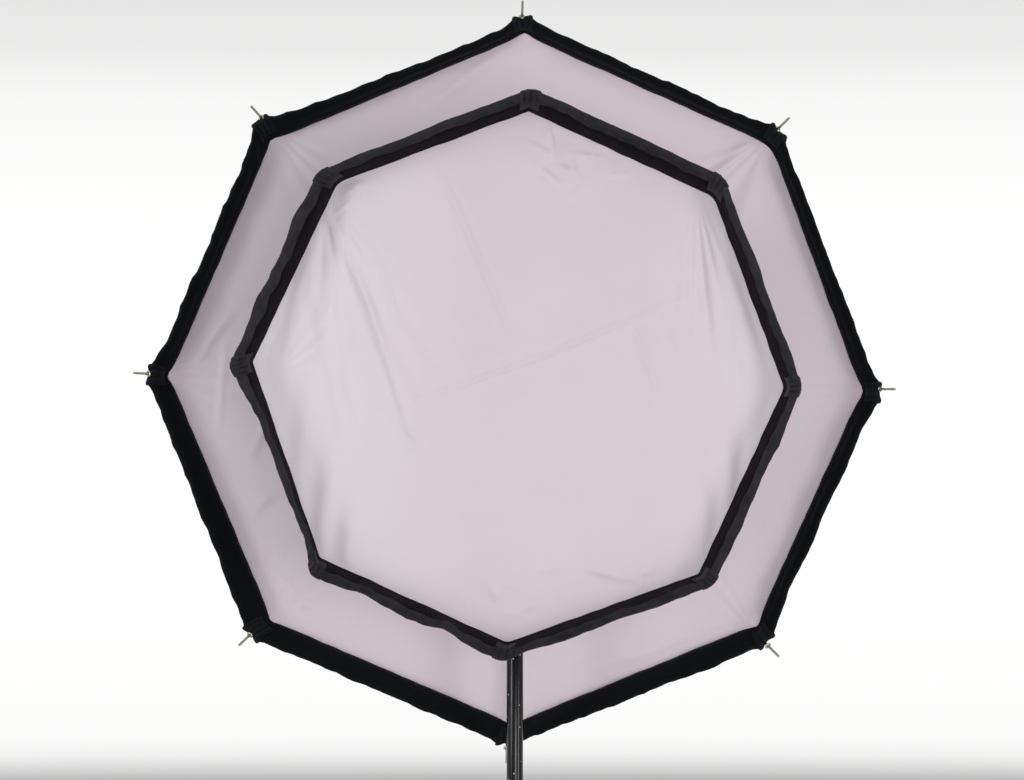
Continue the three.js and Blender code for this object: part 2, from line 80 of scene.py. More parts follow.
class Box:
    """One octagonal box: the body its pieces ride on, its roll in degrees, and its wall's line, a quadratic
    curve from the neck to the rim, both (radius, y). The curve's control point lies bow behind the rim and
    flare times bow inside it."""

    def __init__(self, body, roll, neck, rim, bow, flare):
        self.body = body
        self.roll = math.radians(roll)
        self.neck = np.array(neck)
        self.rim = np.array(rim)
        back = np.sign(self.neck[1] - self.rim[1])
        self.bend = self.rim + np.array([-bow * flare, back * bow])

    def pull(self, outer, white, rounded):
        """Sets how far each corner is pulled off a true octagon, to the right and up, how much further the
        white cloth's corners are pulled, and over what length those are rounded, all in mm. The cloth behind
        makes room, unless the white cloth's corner is pulled inwards by 2 mm or more."""
        self.corner_shift = MM * np.array(outer)
        self.white_shift = MM * np.array(white)
        self.white_round = MM * np.array(rounded)
        out = np.array([self.direction(corner) for corner in range(CORNERS)])
        outward = (self.white_shift * out).sum(axis=1) > -2 * MM
        self.room_shift = self.white_shift * outward[:, None]

    def wall(self, t):
        """(radius, y) and unit direction on the wall's line, for places from the neck (0) to the rim (1)."""
        t = np.asarray(t, float)[:, None]
        at = (1 - t) ** 2 * self.neck + 2 * t * (1 - t) * self.bend + t ** 2 * self.rim
        along = 2 * (1 - t) * (self.bend - self.neck) + 2 * t * (self.rim - self.bend)
        return at, along / np.linalg.norm(along, axis=1)[:, None]

    def where(self, y):
        """The place on the wall's line where it reaches a depth."""
        t = np.linspace(0, 1, 4001)
        at, _ = self.wall(t)
        return float(t[np.argmin(np.abs(at[:, 1] - y))])

    def direction(self, corner):
        angle = corner * TURN + self.roll
        return np.array([math.sin(angle), math.cos(angle)])


FRONT = Box("front_box", 1.8, (0.09352, -0.086), (0.491, -0.377), 0.170, 0.8)
REAR = Box("rear_box", 1.2, (0.06537, 0.488), (0.675, 0.084), 0.290, 1.0)

FRONT.pull([(10, 1), (-2, 3), (-1, -6), (1, -3), (-10, 0), (5, -7), (-2, -3), (-5, -10)],
           [(-2, -4), (8, -9), (4, -2), (-1, -5), (7, -2), (-8, 6), (6, 11), (10, 6)],
           [0, 12, 6, 0, 6, 0, 0, 12])
REAR.pull([(0, 3), (4, -2), (2, -7), (0, 6), (-1, 6), (0, -1), (-3, -1), (-8, -1)],
          [(5, 3), (13, -1), (4, 2), (6, 7), (11, 1), (13, 1), (3, -3), (-2, -14)],
          [0, 44, 12, 0, 0, 0, 0, 0])


def stations(per_side):
    """(side, share of the side) all round, a little closer together near the corners."""
    k = np.arange(per_side) / per_side
    share = 0.55 * k + 0.45 * (0.5 - 0.5 * np.cos(np.pi * k))
    side = np.repeat(np.arange(CORNERS), per_side)
    return side, np.tile(share, CORNERS)


def across_corner(corner, half, count, radius):
    """Stations from half a width before a corner to half a width after it."""
    side_length = 2 * radius * math.sin(TURN / 2)
    d = np.linspace(-half, half, count) / side_length
    side = np.where(d < 0, (corner - 1) % CORNERS, corner)
    return side, np.where(d < 0, 1 + d, d)


def on_ring(box, side, share, radius, y, soften=0.0, inward=0.0, white=0.0, room=0.0):
    """Points round the octagon, as (station, profile). radius is to the corners. soften rounds the corners
    over that length, inward pulls each side in, white says how far the white cloth's corners are followed,
    and room how far they are made room for. share may differ along the profile."""
    corners = np.array([box.direction(i) for i in range(CORNERS)])
    a, b = corners[side][:, None, :], corners[(side + 1) % CORNERS][:, None, :]
    share = np.asarray(share, float)
    f = (share if share.ndim == 2 else share[:, None])[..., None]
    radius = np.asarray(radius, float)
    pulled = (radius / box.rim[0]) ** 2
    after = (side + 1) % CORNERS
    moved = 0.0
    for shift, weight in ((box.corner_shift, pulled), (box.white_shift, white), (box.room_shift, room)):
        between = (1 - f) * shift[side][:, None, :] + f * shift[after][:, None, :]
        moved = moved + between * np.asarray(weight, float)[..., None]
    flat = ((1 - f) * a + f * b) * radius[..., None] + moved
    side_length = 2 * radius * math.sin(TURN / 2)
    for toward, corner, which in ((f[..., 0], a, side), (1 - f[..., 0], b, after)):
        over = np.maximum(soften + box.white_round[which][:, None] * np.asarray(white, float), 1e-6)
        close = np.clip(1 - toward * side_length / over, 0, 1)
        flat = flat - corner * (0.2 * over * close ** 2)[..., None]
    normal = (a + b) / np.linalg.norm(a + b, axis=-1, keepdims=True)
    flat = flat - normal * np.broadcast_to(inward, flat.shape[:2])[..., None]
    depth = np.broadcast_to(y, flat.shape[:2])
    return np.stack([flat[..., 0], depth, AXIS_Z + flat[..., 1]], axis=-1)


# ---- Waves and creases -------------------------------------------------------------------------------

def waves(s, seed, lengths, heights):
    """A smooth irregular line: a sum of sine waves with set phases."""
    draw = np.random.RandomState(seed)
    total = np.zeros_like(np.asarray(s, float))
    for length, height in zip(lengths, heights):
        for _ in range(3):
            stretched = length * draw.uniform(0.75, 1.3)
            total += height / 3 * np.sin(2 * np.pi * (s / stretched + draw.rand()))
    return total


def hills(x, z, seed, length, height, count=7):
    """Broad soft undulation over a sheet."""
    draw = np.random.RandomState(seed)
    total = np.zeros_like(x)
    for _ in range(count):
        angle = draw.uniform(0, np.pi)
        stretched = length * draw.uniform(0.6, 1.6)
        along = x * math.cos(angle) + z * math.sin(angle)
        total += height / count * np.sin(2 * np.pi * (along / stretched + draw.rand()))
    return total


def smooth(t):
    t = np.clip(t, 0, 1)
    return t * t * (3 - 2 * t)


def crease(x, z, points, height, width, lean=0.7):
    """A fold along a line of points: a narrow ridge with one side standing a little higher."""
    points = np.array(points, float)
    step = np.diff(points, axis=0)
    length = np.linalg.norm(step, axis=1)
    before = np.concatenate([[0], np.cumsum(length)])
    best = np.full(x.shape, 1e9)
    signed = np.zeros(x.shape)
    place = np.zeros(x.shape)
    for i, (start, run) in enumerate(zip(points[:-1], step)):
        u = run / length[i]
        rx, rz = x - start[0], z - start[1]
        s = np.clip(rx * u[0] + rz * u[1], 0, length[i])
        dx, dz = rx - s * u[0], rz - s * u[1]
        d = np.hypot(dx, dz)
        closer = d < best
        best = np.where(closer, d, best)
        signed = np.where(closer, dx * -u[1] + dz * u[0], signed)
        place = np.where(closer, (before[i] + s) / before[-1], place)
    fade = np.sin(np.pi * np.clip(place, 0.02, 0.98)) ** 0.6
    ridge = np.exp(-((best / width) ** 2))
    shoulder = lean * np.tanh(signed / (2 * width)) * np.exp(-((best / (7 * width)) ** 2))
    return height * fade * (ridge + shoulder)


def fan(x, z, apex, toward, spread, folds, reach, height, seed):
    """Soft folds that spread from a corner."""
    draw = np.random.RandomState(seed)
    dx, dz = x - apex[0], z - apex[1]
    angle = np.arctan2(dz, dx) - math.atan2(toward[1] - apex[1], toward[0] - apex[0])
    angle = (angle + np.pi) % (2 * np.pi) - np.pi
    far = np.hypot(dx, dz)
    phase = angle * folds / spread * np.pi + 0.9 * np.sin(angle * 7 + draw.rand() * 6)
    window = np.exp(-((angle / spread) ** 2)) * smooth(far / (0.25 * reach)) * smooth(2 * (1 - far / reach))
    return height * np.sin(phase + draw.rand() * 6) * window


def crumple(x, z, centre, radius, height, seed, count=12):
    """Short crossed creases in a patch."""
    draw = np.random.RandomState(seed)
    total = np.zeros_like(x)
    for _ in range(count):
        angle = draw.uniform(0, np.pi)
        middle = np.array(centre) + draw.normal(0, radius * 0.5, 2)
        half = np.array([math.cos(angle), math.sin(angle)]) * radius * draw.uniform(0.2, 0.55)
        total += crease(x, z, [middle - half, middle + half], height * draw.uniform(0.4, 1), 0.0045)
    return total


# ---- Meshes ------------------------------------------------------------------------------------------

def link(name, mesh, materials=()):
    piece = bpy.data.objects.new(name, mesh)
    bpy.context.scene.collection.objects.link(piece)
    for material in materials:
        mesh.materials.append(material)
    return piece


def grid_mesh(name, points, round_stations=True, round_profile=False, materials=(), uv=None, slots=None):
    """A mesh over a (station, profile) grid of points. uv is (strip, its two ends, profile, 2) in metres, and
    slots gives the material number of each profile strip."""
    rows, columns = points.shape[:2]
    last_row = rows if round_stations else rows - 1
    last_column = columns if round_profile else columns - 1
    i, j = np.meshgrid(np.arange(last_row), np.arange(last_column), indexing="ij")
    i2, j2 = (i + 1) % rows, (j + 1) % columns
    faces = np.stack([i * columns + j, i * columns + j2, i2 * columns + j2, i2 * columns + j], axis=-1)
    faces = faces.reshape(-1, 4)
    mesh = bpy.data.meshes.new(name)
    mesh.from_pydata(points.reshape(-1, 3).tolist(), [], faces.tolist())
    if uv is not None:
        corners = [uv[i, 0, j], uv[i, 0, j + 1], uv[i, 1, j + 1], uv[i, 1, j]]
        flat = np.stack([c.reshape(-1, 2) for c in corners], axis=1)
        layer = mesh.uv_layers.new(name="cloth")
        layer.data.foreach_set("uv", flat.astype(np.float32).reshape(-1))
    if slots is not None:
        mesh.polygons.foreach_set("material_index", np.tile(np.asarray(slots, np.int32), last_row))
    mesh.polygons.foreach_set("use_smooth", np.ones(len(faces), bool))
    mesh.update()
    return link(name, mesh, materials)


def apply_modifiers(piece):
    bpy.context.view_layer.update()
    depsgraph = bpy.context.evaluated_depsgraph_get()
    made = bpy.data.meshes.new_from_object(piece.evaluated_get(depsgraph))
    piece.modifiers.clear()
    piece.data = made
    return piece


def face_out(piece):
    """Makes a closed mesh's faces point outwards."""
    form = bmesh.new()
    form.from_mesh(piece.data)
    bmesh.ops.recalc_face_normals(form, faces=form.faces)
    form.to_mesh(piece.data)
    form.free()
    return piece


def thicken(piece, thickness, offset=0.0, inside=0):
    """Gives a sheet its thickness. inside is the material step for its other face."""
    solidify = piece.modifiers.new("thickness", "SOLIDIFY")
    solidify.thickness = thickness
    solidify.offset = offset
    solidify.material_offset = inside
    return apply_modifiers(piece)


def distances(line, closed):
    """Running length along a line of points, back to its start if it is closed."""
    if closed:
        line = np.vstack([line, line[:1]])
    steps = np.linalg.norm(np.diff(line, axis=0), axis=1)
    return np.concatenate([[0], np.cumsum(steps)])


def cloth_uv(points, middle, round_stations=True, round_profile=True):
    """Positions in metres on the cloth: along the stations, measured at one profile point, and across it."""
    u = distances(points[:, middle], round_stations)
    v = distances(points[0], round_profile)
    ends = np.stack([u[:-1], u[1:]], axis=1)[:, :, None]
    return np.stack(np.broadcast_arrays(ends, v[None, None, :]), axis=-1)


def merge(name, pieces):
    """Several pieces as one object. They share their materials."""
    form = bmesh.new()
    for piece in pieces:
        form.from_mesh(piece.data)
    mesh = bpy.data.meshes.new(name)
    form.to_mesh(mesh)
    form.free()
    whole = link(name, mesh, list(pieces[0].data.materials))
    for piece in pieces:
        bpy.data.objects.remove(piece)
    return whole


def settle(piece, box, slot, *nodes):
    """The piece rides on its box and stands for these CAD nodes, which are hidden. slot is not used."""
    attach(piece, box.body)
    if nodes:
        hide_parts(*nodes)
    return piece


# ---- Materials ---------------------------------------------------------------------------------------

class Shade:
    """A material and a short way to add nodes to it."""

    def __init__(self, name, color, roughness, metallic=0.0, sheen=0.0, coat=0.0, gloss=0.5):
        self.material = bpy.data.materials.new(name)
        self.material.use_nodes = True
        self.tree = self.material.node_tree
        self.shader = self.tree.nodes["Principled BSDF"]
        self.set(color, roughness, metallic, sheen, coat, gloss)

    def set(self, color, roughness, metallic, sheen, coat, gloss):
        inputs = self.shader.inputs
        inputs["Base Color"].default_value = (*color, 1)
        inputs["Roughness"].default_value = roughness
        inputs["Metallic"].default_value = metallic
        inputs["Sheen Weight"].default_value = sheen
        inputs["Sheen Roughness"].default_value = 0.4
        inputs["Specular IOR Level"].default_value = gloss
        inputs["Coat Weight"].default_value = coat
        inputs["Coat Roughness"].default_value = 0.08

    def node(self, kind, inputs=None, **settings):
        made = self.tree.nodes.new(kind)
        for key, value in settings.items():
            setattr(made, key, value)
        for key, value in (inputs or {}).items():
            if isinstance(value, bpy.types.NodeSocket):
                self.tree.links.new(value, made.inputs[key])
            else:
                made.inputs[key].default_value = value
        return made

    def coords(self, scale=(1, 1, 1)):
        source = self.node("ShaderNodeTexCoord").outputs["Object"]
        return self.node("ShaderNodeMapping", {"Vector": source, "Scale": scale}).outputs["Vector"]

    def noise(self, vector, scale, detail=2.0, roughness=0.5):
        values = {"Vector": vector, "Scale": scale, "Detail": detail, "Roughness": roughness}
        return self.node("ShaderNodeTexNoise", values).outputs["Fac"]

    def wave(self, vector, scale, axis="X", distortion=0.0):
        values = {"Vector": vector, "Scale": scale, "Distortion": distortion}
        return self.node("ShaderNodeTexWave", values, bands_direction=axis).outputs["Fac"]

    def math(self, operation, a, b=0.5, c=0.5):
        return self.node("ShaderNodeMath", {0: a, 1: b, 2: c}, operation=operation).outputs[0]

    def spread(self, value, low, high, to_low=0.0, to_high=1.0):
        inputs = {"Value": value, "From Min": low, "From Max": high, "To Min": to_low, "To Max": to_high}
        return self.node("ShaderNodeMapRange", inputs).outputs[0]

    def mix(self, share, a, b):
        made = self.node("ShaderNodeMix", data_type="RGBA")
        for socket, value in ((made.inputs[0], share), (made.inputs[6], a), (made.inputs[7], b)):
            if isinstance(value, bpy.types.NodeSocket):
                self.tree.links.new(value, socket)
            elif isinstance(value, tuple):
                socket.default_value = (*value, 1)
            else:
                socket.default_value = value
        return made.outputs[2]

    def bump(self, height, strength, distance, under=None):
        inputs = {"Height": height, "Strength": strength, "Distance": distance}
        if under is not None:
            inputs["Normal"] = under
        return self.node("ShaderNodeBump", inputs).outputs["Normal"]

    def use(self, color=None, roughness=None, normal=None):
        for key, value in (("Base Color", color), ("Roughness", roughness), ("Normal", normal)):
            if value is not None:
                self.tree.links.new(value, self.shader.inputs[key])
        return self.material


def tint(color, factor):
    return tuple(min(1.0, c * factor) for c in color)


def bands(pitch):
    """The wave texture's scale for lines this far apart."""
    return math.pi / (10 * pitch)


def woven(name, color, roughness, pitch, sheen=0.2, flat=False, fuzz=0.35, ripstop=0.0, stitches=(),
          gloss=0.12, painted_light_sides=None):
    """Woven cloth: threads both ways, slow changes of shade, an optional ripstop grid, and rows of stitches
    at the given distances across the strip. A flat cloth takes its weave from its place, not from a map, and
    can be painted paler towards its two sides, more so on the left: painted light for the sheet's edges."""
    s = Shade(name, color, roughness, sheen=sheen, gloss=gloss)
    at = s.coords() if flat else s.node("ShaderNodeUVMap", uv_map="cloth").outputs["UV"]
    axes = ("X", "Z") if flat else ("X", "Y")
    warp, weft = (s.wave(at, bands(pitch), axis, 0.4) for axis in axes)
    weave = s.math("MULTIPLY_ADD", warp, 0.5, s.math("MULTIPLY", weft, 0.5))
    normal = s.bump(weave, 0.25, pitch * 0.6)
    soft = s.coords()
    slow = s.noise(soft, 9 if flat else 48, 4)
    normal = s.bump(s.noise(soft, 260, 2), 0.18, 0.0008, normal)
    if ripstop:
        lines = [s.wave(at, bands(ripstop), axis) for axis in axes]
        grid = s.spread(s.math("MAXIMUM", lines[0], lines[1]), 0.965, 1.0)
        normal = s.bump(grid, 0.25, 0.0004, normal)
    shade = s.mix(s.spread(slow, 0.3, 0.7), tint(color, 1 - 0.5 * fuzz), tint(color, 1 + 0.5 * fuzz))
    shade = s.mix(s.spread(weave, 0.25, 0.75, 0.0, 0.3), shade, tint(color, 1 + fuzz))
    # Painted light: the cloth turns paler towards its left and right sides, more so on the left, standing in
    # for light on the sheet's edges.
    if painted_light_sides:
        x = s.node("ShaderNodeSeparateXYZ", {"Vector": soft}).outputs["X"]
        sides = s.math("MAXIMUM", s.spread(x, -0.08, -0.42), s.spread(x, 0.22, 0.46, 0.0, 0.6))
        shade = s.mix(sides, shade, painted_light_sides)
    if stitches:
        shade, normal = sew(s, at, stitches, shade, normal)
    rough = s.spread(slow, 0.3, 0.7, roughness - 0.06, roughness + 0.06)
    return s.use(shade, rough, normal)


def sew(s, at, rows, shade, normal):
    """Rows of stitches 4.4 mm apart, each row in a shallow trough."""
    split = s.node("ShaderNodeSeparateXYZ", {"Vector": at})
    dash = s.spread(s.math("PINGPONG", split.outputs["X"], 0.0022), 0.0004, 0.0008)
    for row in rows:
        away = s.math("ABSOLUTE", s.math("SUBTRACT", split.outputs["Y"], row))
        thread = s.math("MULTIPLY", s.spread(away, 0.0009, 0.0005), dash)
        shade = s.mix(thread, shade, (0.06, 0.06, 0.065))
        normal = s.bump(thread, 0.6, 0.0006, normal)
        normal = s.bump(s.spread(away, 0.0, 0.003), 0.4, 0.0012, normal)
    return shade, normal


def moulded(name, color, roughness, grain=900, depth=0.00012, coat=0.0, wear=0.35):
    """Moulded plastic or rubber: a fine grain, faint smudges, and edges a little paler."""
    s = Shade(name, color, roughness, coat=coat)
    at = s.coords()
    normal = s.bump(s.noise(at, grain, 2), 0.35, depth)
    smudge = s.noise(at, 22, 4, 0.6)
    color_out = s.mix(s.spread(smudge, 0.35, 0.75), color, tint(color, 1.5 + wear))
    edge = s.spread(s.node("ShaderNodeNewGeometry").outputs["Pointiness"], 0.53, 0.62, 0.0, wear)
    color_out = s.mix(edge, color_out, (0.12, 0.12, 0.125))
    rough = s.spread(smudge, 0.3, 0.75, roughness - 0.07, roughness + 0.1)
    return s.use(color_out, rough, normal)


def metal(name, color, roughness, brushed=(1, 1, 40), depth=0.00002, coat=0.0, metallic=1.0):
    """Machined or drawn metal: fine marks along one direction and faint smudges."""
    s = Shade(name, color, roughness, metallic=metallic, coat=coat)
    marks = s.noise(s.coords(brushed), 160, 3, 0.6)
    smudge = s.noise(s.coords(), 30, 3)
    normal = s.bump(marks, 0.3, depth)
    rough = s.spread(smudge, 0.3, 0.75, roughness * 0.75, roughness * 1.4)
    shade = s.mix(s.spread(marks, 0.3, 0.8), color, tint(color, 0.72))
    return s.use(shade, rough, normal)


def column_finish():
    """Glossy black anodised tube with pale specks and faint rub marks from the clamps."""
    s = Shade("column_gloss", (0.004, 0.004, 0.005), 0.2, gloss=0.3)
    at = s.coords()
    cells = s.node("ShaderNodeTexVoronoi", {"Vector": at, "Scale": 95.0, "Randomness": 1.0})
    pick = s.node("ShaderNodeSeparateColor", {"Color": cells.outputs["Color"]}).outputs[0]
    small = s.math("LESS_THAN", cells.outputs["Distance"], 0.11)
    speck = s.math("MULTIPLY", small, s.math("GREATER_THAN", pick, 0.72))
    rubs = s.noise(s.coords((60, 60, 3)), 6, 4, 0.6)
    shade = s.mix(s.spread(rubs, 0.62, 0.8, 0.0, 0.35), (0.004, 0.004, 0.005), (0.04, 0.04, 0.042))
    # Pale specks painted at random all round the tube.
    shade = s.mix(speck, shade, (0.55, 0.54, 0.52))
    rough = s.spread(rubs, 0.4, 0.8, 0.16, 0.38)
    normal = s.bump(s.noise(s.coords((1, 1, 0.02)), 700, 2), 0.1, 0.00002)
    return s.use(shade, rough, normal)


def led_finish():
    """A yellow phosphor plate with a lattice of small emitters."""
    s = Shade("led", (0.75, 0.55, 0.13), 0.5)
    at = s.coords()
    cells = s.node("ShaderNodeTexVoronoi", {"Vector": at, "Scale": 210.0, "Randomness": 0.0})
    dot = s.spread(cells.outputs["Distance"], 0.2, 0.4)
    shade = s.mix(dot, (0.95, 0.75, 0.25), (0.75, 0.62, 0.32))
    return s.use(shade, None, s.bump(dot, 0.4, 0.0003))


def glass_finish():
    s = Shade("clear_glass", (0.95, 0.96, 0.95), 0.03)
    s.shader.inputs["Transmission Weight"].default_value = 0.95
    at = s.coords()
    rough = s.spread(s.noise(at, 18, 3), 0.4, 0.8, 0.02, 0.09)
    return s.use(None, rough, s.bump(s.noise(at, 12, 2), 0.05, 0.0004))


WHITE = (0.672, 0.585, 0.64)
# Painted light: the large sheet's white is the same cloth painted lighter, making up for the shade the small
# box casts on it.
LIT_LARGE_WHITE = (0.77, 0.675, 0.735)
BLACK = (0.0022, 0.0035, 0.005)
RIM_GREY = (0.0148, 0.0134, 0.018)

FINISH = {
    "column_gloss": column_finish(),
    "clamp_plastic": moulded("clamp_plastic", (0.012, 0.012, 0.013), 0.42),
    "foot_rubber": moulded("foot_rubber", (0.012, 0.012, 0.012), 0.8, 500, 0.0003),
    "bright_steel": metal("bright_steel", (0.62, 0.6, 0.56), 0.25, (1, 40, 1)),
    "rod_steel": metal("rod_steel", (0.66, 0.62, 0.54), 0.22, (40, 40, 40)),
    "dark_metal": metal("dark_metal", (0.035, 0.035, 0.038), 0.35, (40, 1, 1), coat=0.2),
    "housing_plastic": moulded("housing_plastic", (0.014, 0.014, 0.015), 0.5),
    "rocker_rubber": moulded("rocker_rubber", (0.01, 0.01, 0.01), 0.3, 700, 0.00008, coat=0.3),
    "led": led_finish(),
    "clear_glass": glass_finish(),
    "black_fabric": woven("black_fabric", BLACK, 0.85, 0.0009, sheen=0.01, stitches=(0.021, 0.076, 0.098)),
    "rim_fabric": woven("rim_fabric", RIM_GREY, 0.6, 0.0009, sheen=0.02, fuzz=1.3),
    # The white cloth's paler sides are painted light.
    "white_fabric": woven("white_fabric", WHITE, 0.45, 0.0006, sheen=0.05, flat=True, fuzz=0.035, gloss=0.6,
                          painted_light_sides=(0.76, 0.7, 0.755)),
}
# Painted light: a lighter copy of the white cloth for the large sheet, making up for the small box's shade.
LIT_LARGE_SHEET_CLOTH = woven("lit_large_sheet_cloth", LIT_LARGE_WHITE, 0.5, 0.0006, sheen=0.05, flat=True, fuzz=0.035,
                          gloss=0.5)
SHELL_CLOTH = woven("shell_cloth", (0.014, 0.0145, 0.0165), 0.45, 0.0007, sheen=0.05, ripstop=0.006,
                    gloss=0.4)
# Painted shade: a darker copy of the rim cloth for the strips inside the lip, where the recess lies in shade.
RIM_PAINTED_SHADE = woven("rim_painted_shade_cloth", (0.0026, 0.0018, 0.0044), 0.85, 0.0009, sheen=0.0)
PATCH_CLOTH = woven("patch_cloth", (0.0155, 0.0145, 0.0185), 0.6, 0.0011, sheen=0.03, fuzz=0.9)
BLACK_PATCH = woven("black_patch_cloth", (0.006, 0.008, 0.01), 0.75, 0.0011, sheen=0.02, fuzz=0.6)
TAPE = woven("seam_tape", (0.011, 0.011, 0.012), 0.6, 0.0012, sheen=0.04, stitches=(0.003, 0.019))
SILVER_LINING = metal("silver_lining", (0.62, 0.62, 0.63), 0.38, (8, 8, 8), 0.0002, metallic=0.85)
HOOK_TAPE = moulded("hook_tape", (0.01, 0.01, 0.011), 0.9, 1400, 0.0005)
EYELET = metal("eyelet", (0.75, 0.68, 0.5), 0.2, (30, 30, 30))


def finish_cad_nodes():
    """Every CAD node that stays visible gets its slot's finish, welded corners and small rounded edges."""
    slots = {row["node"]: row["material_slot"] for row in frame["record"]["subparts"]}
    for name, node in frame["nodes"].items():
        node.data.materials.clear()
        node.data.materials.append(FINISH[slots[name]])
        node.data.polygons.foreach_set("use_smooth", np.ones(len(node.data.polygons), bool))
        weld = node.modifiers.new("weld", "WELD")
        weld.merge_threshold = 2e-5
        edge = node.modifiers.new("rounded_edges", "BEVEL")
        edge.width = 0.0007
        edge.segments = 2
        edge.limit_method = "ANGLE"
        edge.angle_limit = math.radians(32)
        edge.harden_normals = True


finish_cad_nodes()


# ---- Rims --------------------------------------------------------------------------------------------

# Each point: radius to the corners and depth in mm, how far it follows the white cloth's corners, how far it
# follows the outer edge's sag, and how far it makes room where the white cloth's corners are pulled out.
# The section runs from inside the box, over the crest, back along the shell.
FRONT_PROFILE = np.array([
    (459, -341, 0.8, 0, 0), (461, -345, 1, 0, 0), (462, -352, 1, 0, 0), (465.5, -364, 1, 0, 0),
    (469, -376, 0.88, 0.12, 0), (472, -385, 0.68, 0.32, 0), (475, -390.5, 0.43, 0.57, 0),
    (478.5, -390, 0.17, 0.83, 0), (483, -386, 0, 1, 0), (488, -381, 0, 1, 0), (492, -376.5, 0, 1, 0),
    (494, -371.5, 0, 1, 0), (492.5, -366, 0, 0.95, 0.1), (486, -358, 0, 0.8, 0.5), (478, -348.5, 0, 0.6, 0.8),
    (469, -338, 0, 0.4, 0.8), (458, -325.5, 0, 0.15, 0.5), (451, -319.5, 0, 0, 0.3), (446, -321.5, 0, 0, 0.3),
    (451, -330, 0.3, 0, 0.3),
])
REAR_PROFILE = np.array([
    (634, 122.5, 0.7, 0, 0), (638, 117.5, 1, 0, 0), (638.5, 108, 1, 0, 0), (641, 99.5, 1, 0, 0),
    (646, 92, 0.93, 0.07, 0), (652.5, 84, 0.56, 0.44, 0), (659, 77, 0.15, 0.85, 0.1), (665, 71.5, 0, 1, 0.1),
    (671, 69.5, 0, 1, 0), (676, 73, 0, 1, 0), (678, 79, 0, 1, 0), (675.5, 86, 0, 0.97, 0.1),
    (667, 95.5, 0, 0.85, 0.6), (656.5, 107.5, 0, 0.55, 1), (645, 121, 0, 0.25, 1.05),
    (633, 134, 0, 0.05, 0.7), (626, 138, 0, 0, 0.4), (622, 134.5, 0, 0, 0.4), (627, 128.5, 0.2, 0, 0.4),
])


def fine_profile(profile):
    """A smooth curve through the closed profile, with four points for each of its own."""
    closed = np.vstack([profile[-1:], profile, profile[:2]])
    t = np.linspace(0, 1, 4, endpoint=False)[:, None]
    out = []
    for i in range(len(profile)):
        p0, p1, p2, p3 = closed[i:i + 4]
        out.append(0.5 * (2 * p1 + (p2 - p0) * t + (2 * p0 - 5 * p1 + 4 * p2 - p3) * t ** 2
                          + (3 * p1 - p0 - 3 * p2 + p3) * t ** 3))
    return np.vstack(out)


class Rim:
    """A sewn rim's shape: its section, how its sides sag inwards, and how it bunches at the corners. bow and
    wobble are in mm for each side, bow for the even part of the sag and wobble for its waves. ears are the
    peaks beside each corner, and a higher square makes a side sag evenly nearly up to its ends."""

    def __init__(self, box, profile, bow, wobble, seed, soften, gather, ears, square=4):
        self.box, self.seed, self.gather, self.ears, self.square = box, seed, gather, ears, square
        fine = fine_profile(profile)
        self.section = MM * fine[:, :2]
        self.white, self.outer, self.room = np.clip(fine[:, 2:].T, 0, 1.1)
        self.crest = np.exp(-(((self.section[:, 1] - self.section[:, 1].min()) / 0.014) ** 2))
        self.soften = soften * (0.15 + 0.85 * self.outer)
        self.bow, self.wobble = MM * np.array(bow), MM * np.array(wobble)
        self.length = 2 * self.section[:, 0].max() * math.sin(TURN / 2)

    def sag(self, side, share):
        """How far each station's outer edge is pulled in."""
        hump = 1 - np.abs(2 * share - 1) ** self.square
        s = (side + share) * self.length
        ends = smooth(np.minimum(share, 1 - share) * self.length / 0.05)
        wavy = self.wobble[side] * waves(s, self.seed, (0.17, 0.07, 0.032), (1.0, 0.45, 0.22))
        return self.bow[side] * hump + wavy * ends

    def points(self, side, share):
        s = (side + share) * self.length
        corner = np.minimum(share, 1 - share) * self.length
        ears = self.ears * (np.exp(-((corner - 0.017) / 0.007) ** 2) - 0.5 * np.exp(-((corner / 0.009) ** 2)))
        inner = MM * waves(s, self.seed + 7, (0.11, 0.05), (0.8, 0.5)) * smooth(corner / 0.05)
        inward = (self.sag(side, share) - ears)[:, None] * self.outer + inner[:, None] * (1 - self.outer)
        folds = self.gather * np.sin(corner / 0.0095 * 2 * np.pi + side) * np.exp(-((corner / 0.028) ** 2))
        puffs = 1.8 * MM * waves(s, self.seed + 3, (0.09, 0.04, 0.021), (1.0, 0.7, 0.5))
        place = np.arange(len(self.section)) / len(self.section)
        slanted = s[:, None] + 0.05 * place
        puckers = 0.7 * MM * waves(slanted, self.seed + 5, (0.03, 0.016), (1.0, 0.7))
        y = self.section[:, 1] + ((folds + puffs)[:, None] + puckers) * np.sin(np.pi * place)
        lean = 2.6 * MM * waves(s, self.seed + 9, (0.14, 0.06, 0.027), (1.0, 0.8, 0.5))
        lean = lean * smooth(corner / 0.04)
        radius = self.section[:, 0] + lean[:, None] * self.crest
        return on_ring(self.box, side, share, radius, y, self.soften, inward, self.white, self.room)

    def outward(self, points):
        """Unit directions out of the rim's surface at each point."""
        around = np.gradient(points, axis=0)
        across = np.gradient(points, axis=1)
        normal = np.cross(around, across)
        normal /= np.linalg.norm(normal, axis=-1, keepdims=True)
        middle = points.mean(axis=1, keepdims=True)
        sign = np.sign(np.sum(normal * (points - middle), axis=-1).sum())
        return normal * sign


FRONT_RIM = Rim(
    FRONT, FRONT_PROFILE,
    bow=(-2, -2, -3, -2, 3, 13, -3, -2), wobble=(1.2, 1.8, 3.2, 2.2, 4.0, 4.0, 3.0, 1.4),
    seed=11, soften=0.014, gather=2.2 * MM, ears=0.0,
)
REAR_RIM = Rim(
    REAR, REAR_PROFILE,
    bow=(7, 4, 6, -1, 2, 1, 12, 17), wobble=(1.2, 1, 1.2, 1.3, 1, 1.3, 1.6, 1.3),
    seed=23, soften=0.03, gather=2.4 * MM, ears=4.5 * MM, square=7,
)


